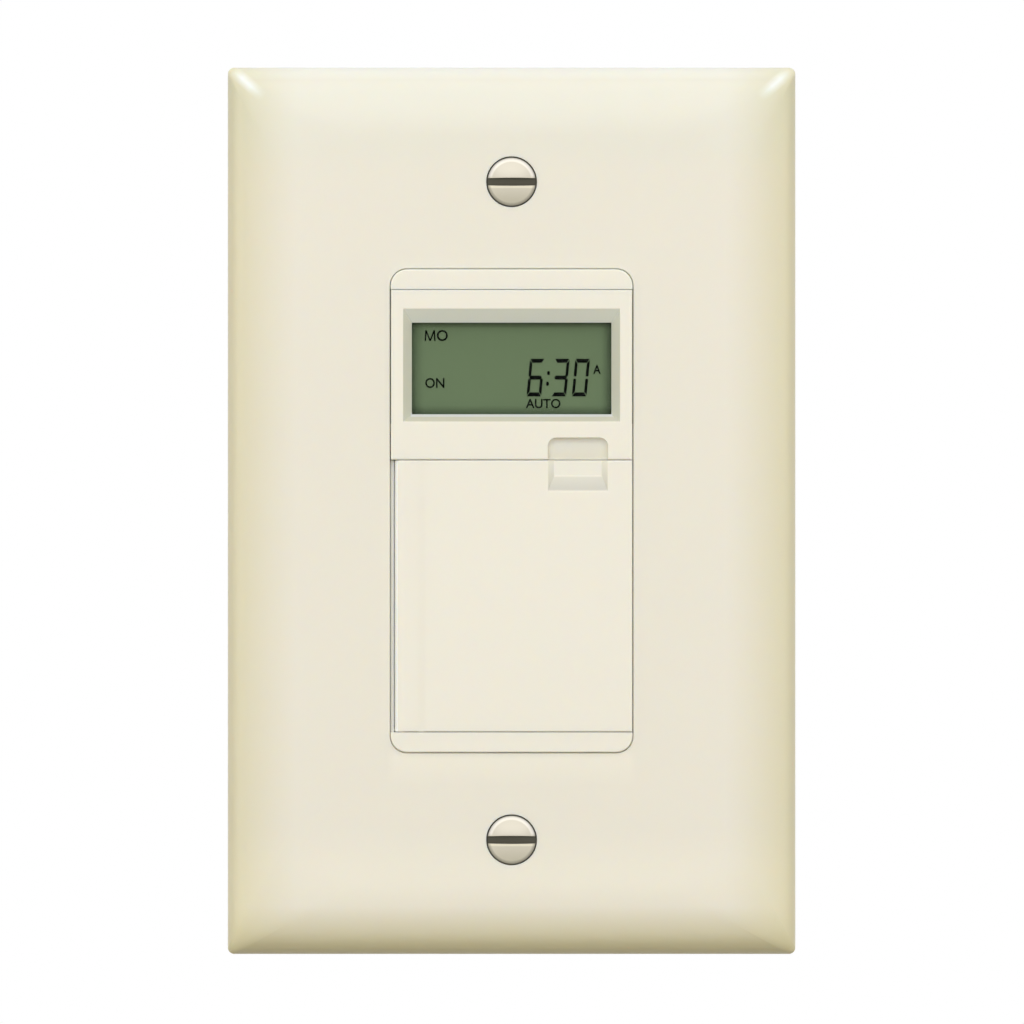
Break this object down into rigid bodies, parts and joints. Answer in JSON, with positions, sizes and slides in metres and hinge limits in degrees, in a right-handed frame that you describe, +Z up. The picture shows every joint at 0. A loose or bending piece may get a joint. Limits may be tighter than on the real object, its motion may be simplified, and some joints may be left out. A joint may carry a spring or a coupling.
{
  "type": "timer light switch",
  "caption": "Week timer light switch: wall plate, display, hinged door over the programming keys, strap and rear housing with side terminals.",
  "frame": {"origin": "centre of the two box screws, in the plane of the wall's surface, where the plate's rim and the strap's back lie", "axes": "+X to the right and +Z up as seen from the room, +Y into the wall along the box screws"},
  "size_m": [0.0794, 0.0423, 0.124],
  "materials": {
    "plate_plastic": "smooth moulded, semi-gloss",
    "device_plastic": "smooth moulded",
    "nickel": "nickel plated",
    "strap_steel": "zinc plated",
    "zinc_screw": "zinc plated",
    "natural_plastic": "natural",
    "green_screw": "green plated",
    "clear_pane": "clear acrylic",
    "display_glass": "reflective display",
    "holder_plastic": "moulded",
    "contact_rubber": "rubber",
    "switch_black": "moulded",
    "board_green": "solder mask",
    "chip_black": "moulded",
    "can_metal": "plain",
    "header_black": "moulded",
    "relay_case": "moulded",
    "capacitor_case": "moulded",
    "capacitor_sleeve": "sleeved",
    "disc_coating": "dipped",
    "housing_plastic": "moulded",
    "brass": "plain",
    "silver_terminal": "nickel plated",
    "key_plastic": "moulded"
  },
  "bodies": {
    "switch": {"backup_cell": "can_metal", "board_header": "header_black", "box_screws": "zinc_screw", "cell_clip": "can_metal", "clock_crystal": "can_metal", "control_board": "board_green", "display_bezel": "device_plastic", "display_holder": "holder_plastic", "display_panel": "display_glass", "display_window": "clear_pane", "filter_capacitor": "capacitor_case", "front_frame": "device_plastic", "ground_screw": "green_screw", "hot_terminal_screws": "brass", "hot_terminals": "brass", "housing_screws": "zinc_screw", "load_relay": "relay_case", "mounting_strap": "strap_steel", "neutral_terminal": "silver_terminal", "neutral_terminal_screw": "silver_terminal", "plate_screws": "nickel", "power_board": "board_green", "rear_housing": "housing_plastic", "reservoir_capacitor": "capacitor_sleeve", "screw_retainers": "natural_plastic", "surge_disc": "disc_coating", "tact_switches": "switch_black", "timer_chip": "chip_black", "wall_plate": "plate_plastic", "zebra_strips": "contact_rubber"},
    "door": {"program_door": "device_plastic"},
    "mode_button": {"mode_key": "key_plastic"},
    "day_button": {"day_key": "key_plastic"},
    "hour_button": {"hour_key": "key_plastic"},
    "minute_button": {"minute_key": "key_plastic"},
    "clock_button": {"clock_key": "key_plastic"},
    "reset_button": {"reset_key": "key_plastic"},
    "timer_button": {"timer_key": "key_plastic"}
  },
  "joints": [
    {"name": "door_hinge", "type": "hinge", "parent": "switch", "child": "door", "pos_m": [-0.01527, -0.0057, 0], "axis": [0, 0, -1], "range_deg": [0, 110]},
    {"name": "mode_press", "type": "slide", "parent": "switch", "child": "mode_button", "axis": [0, 1, 0], "range_m": [0, 0.0005], "stiffness_N_per_m": 400},
    {"name": "day_press", "type": "slide", "parent": "switch", "child": "day_button", "axis": [0, 1, 0], "range_m": [0, 0.0005], "stiffness_N_per_m": 400},
    {"name": "hour_press", "type": "slide", "parent": "switch", "child": "hour_button", "axis": [0, 1, 0], "range_m": [0, 0.0005], "stiffness_N_per_m": 400},
    {"name": "minute_press", "type": "slide", "parent": "switch", "child": "minute_button", "axis": [0, 1, 0], "range_m": [0, 0.0005], "stiffness_N_per_m": 400},
    {"name": "clock_press", "type": "slide", "parent": "switch", "child": "clock_button", "axis": [0, 1, 0], "range_m": [0, 0.0005], "stiffness_N_per_m": 400},
    {"name": "reset_press", "type": "slide", "parent": "switch", "child": "reset_button", "axis": [0, 1, 0], "range_m": [0, 0.0005], "stiffness_N_per_m": 400},
    {"name": "timer_press", "type": "slide", "parent": "switch", "child": "timer_button", "axis": [0, 1, 0], "range_m": [0, 0.0005], "stiffness_N_per_m": 400}
  ]
}
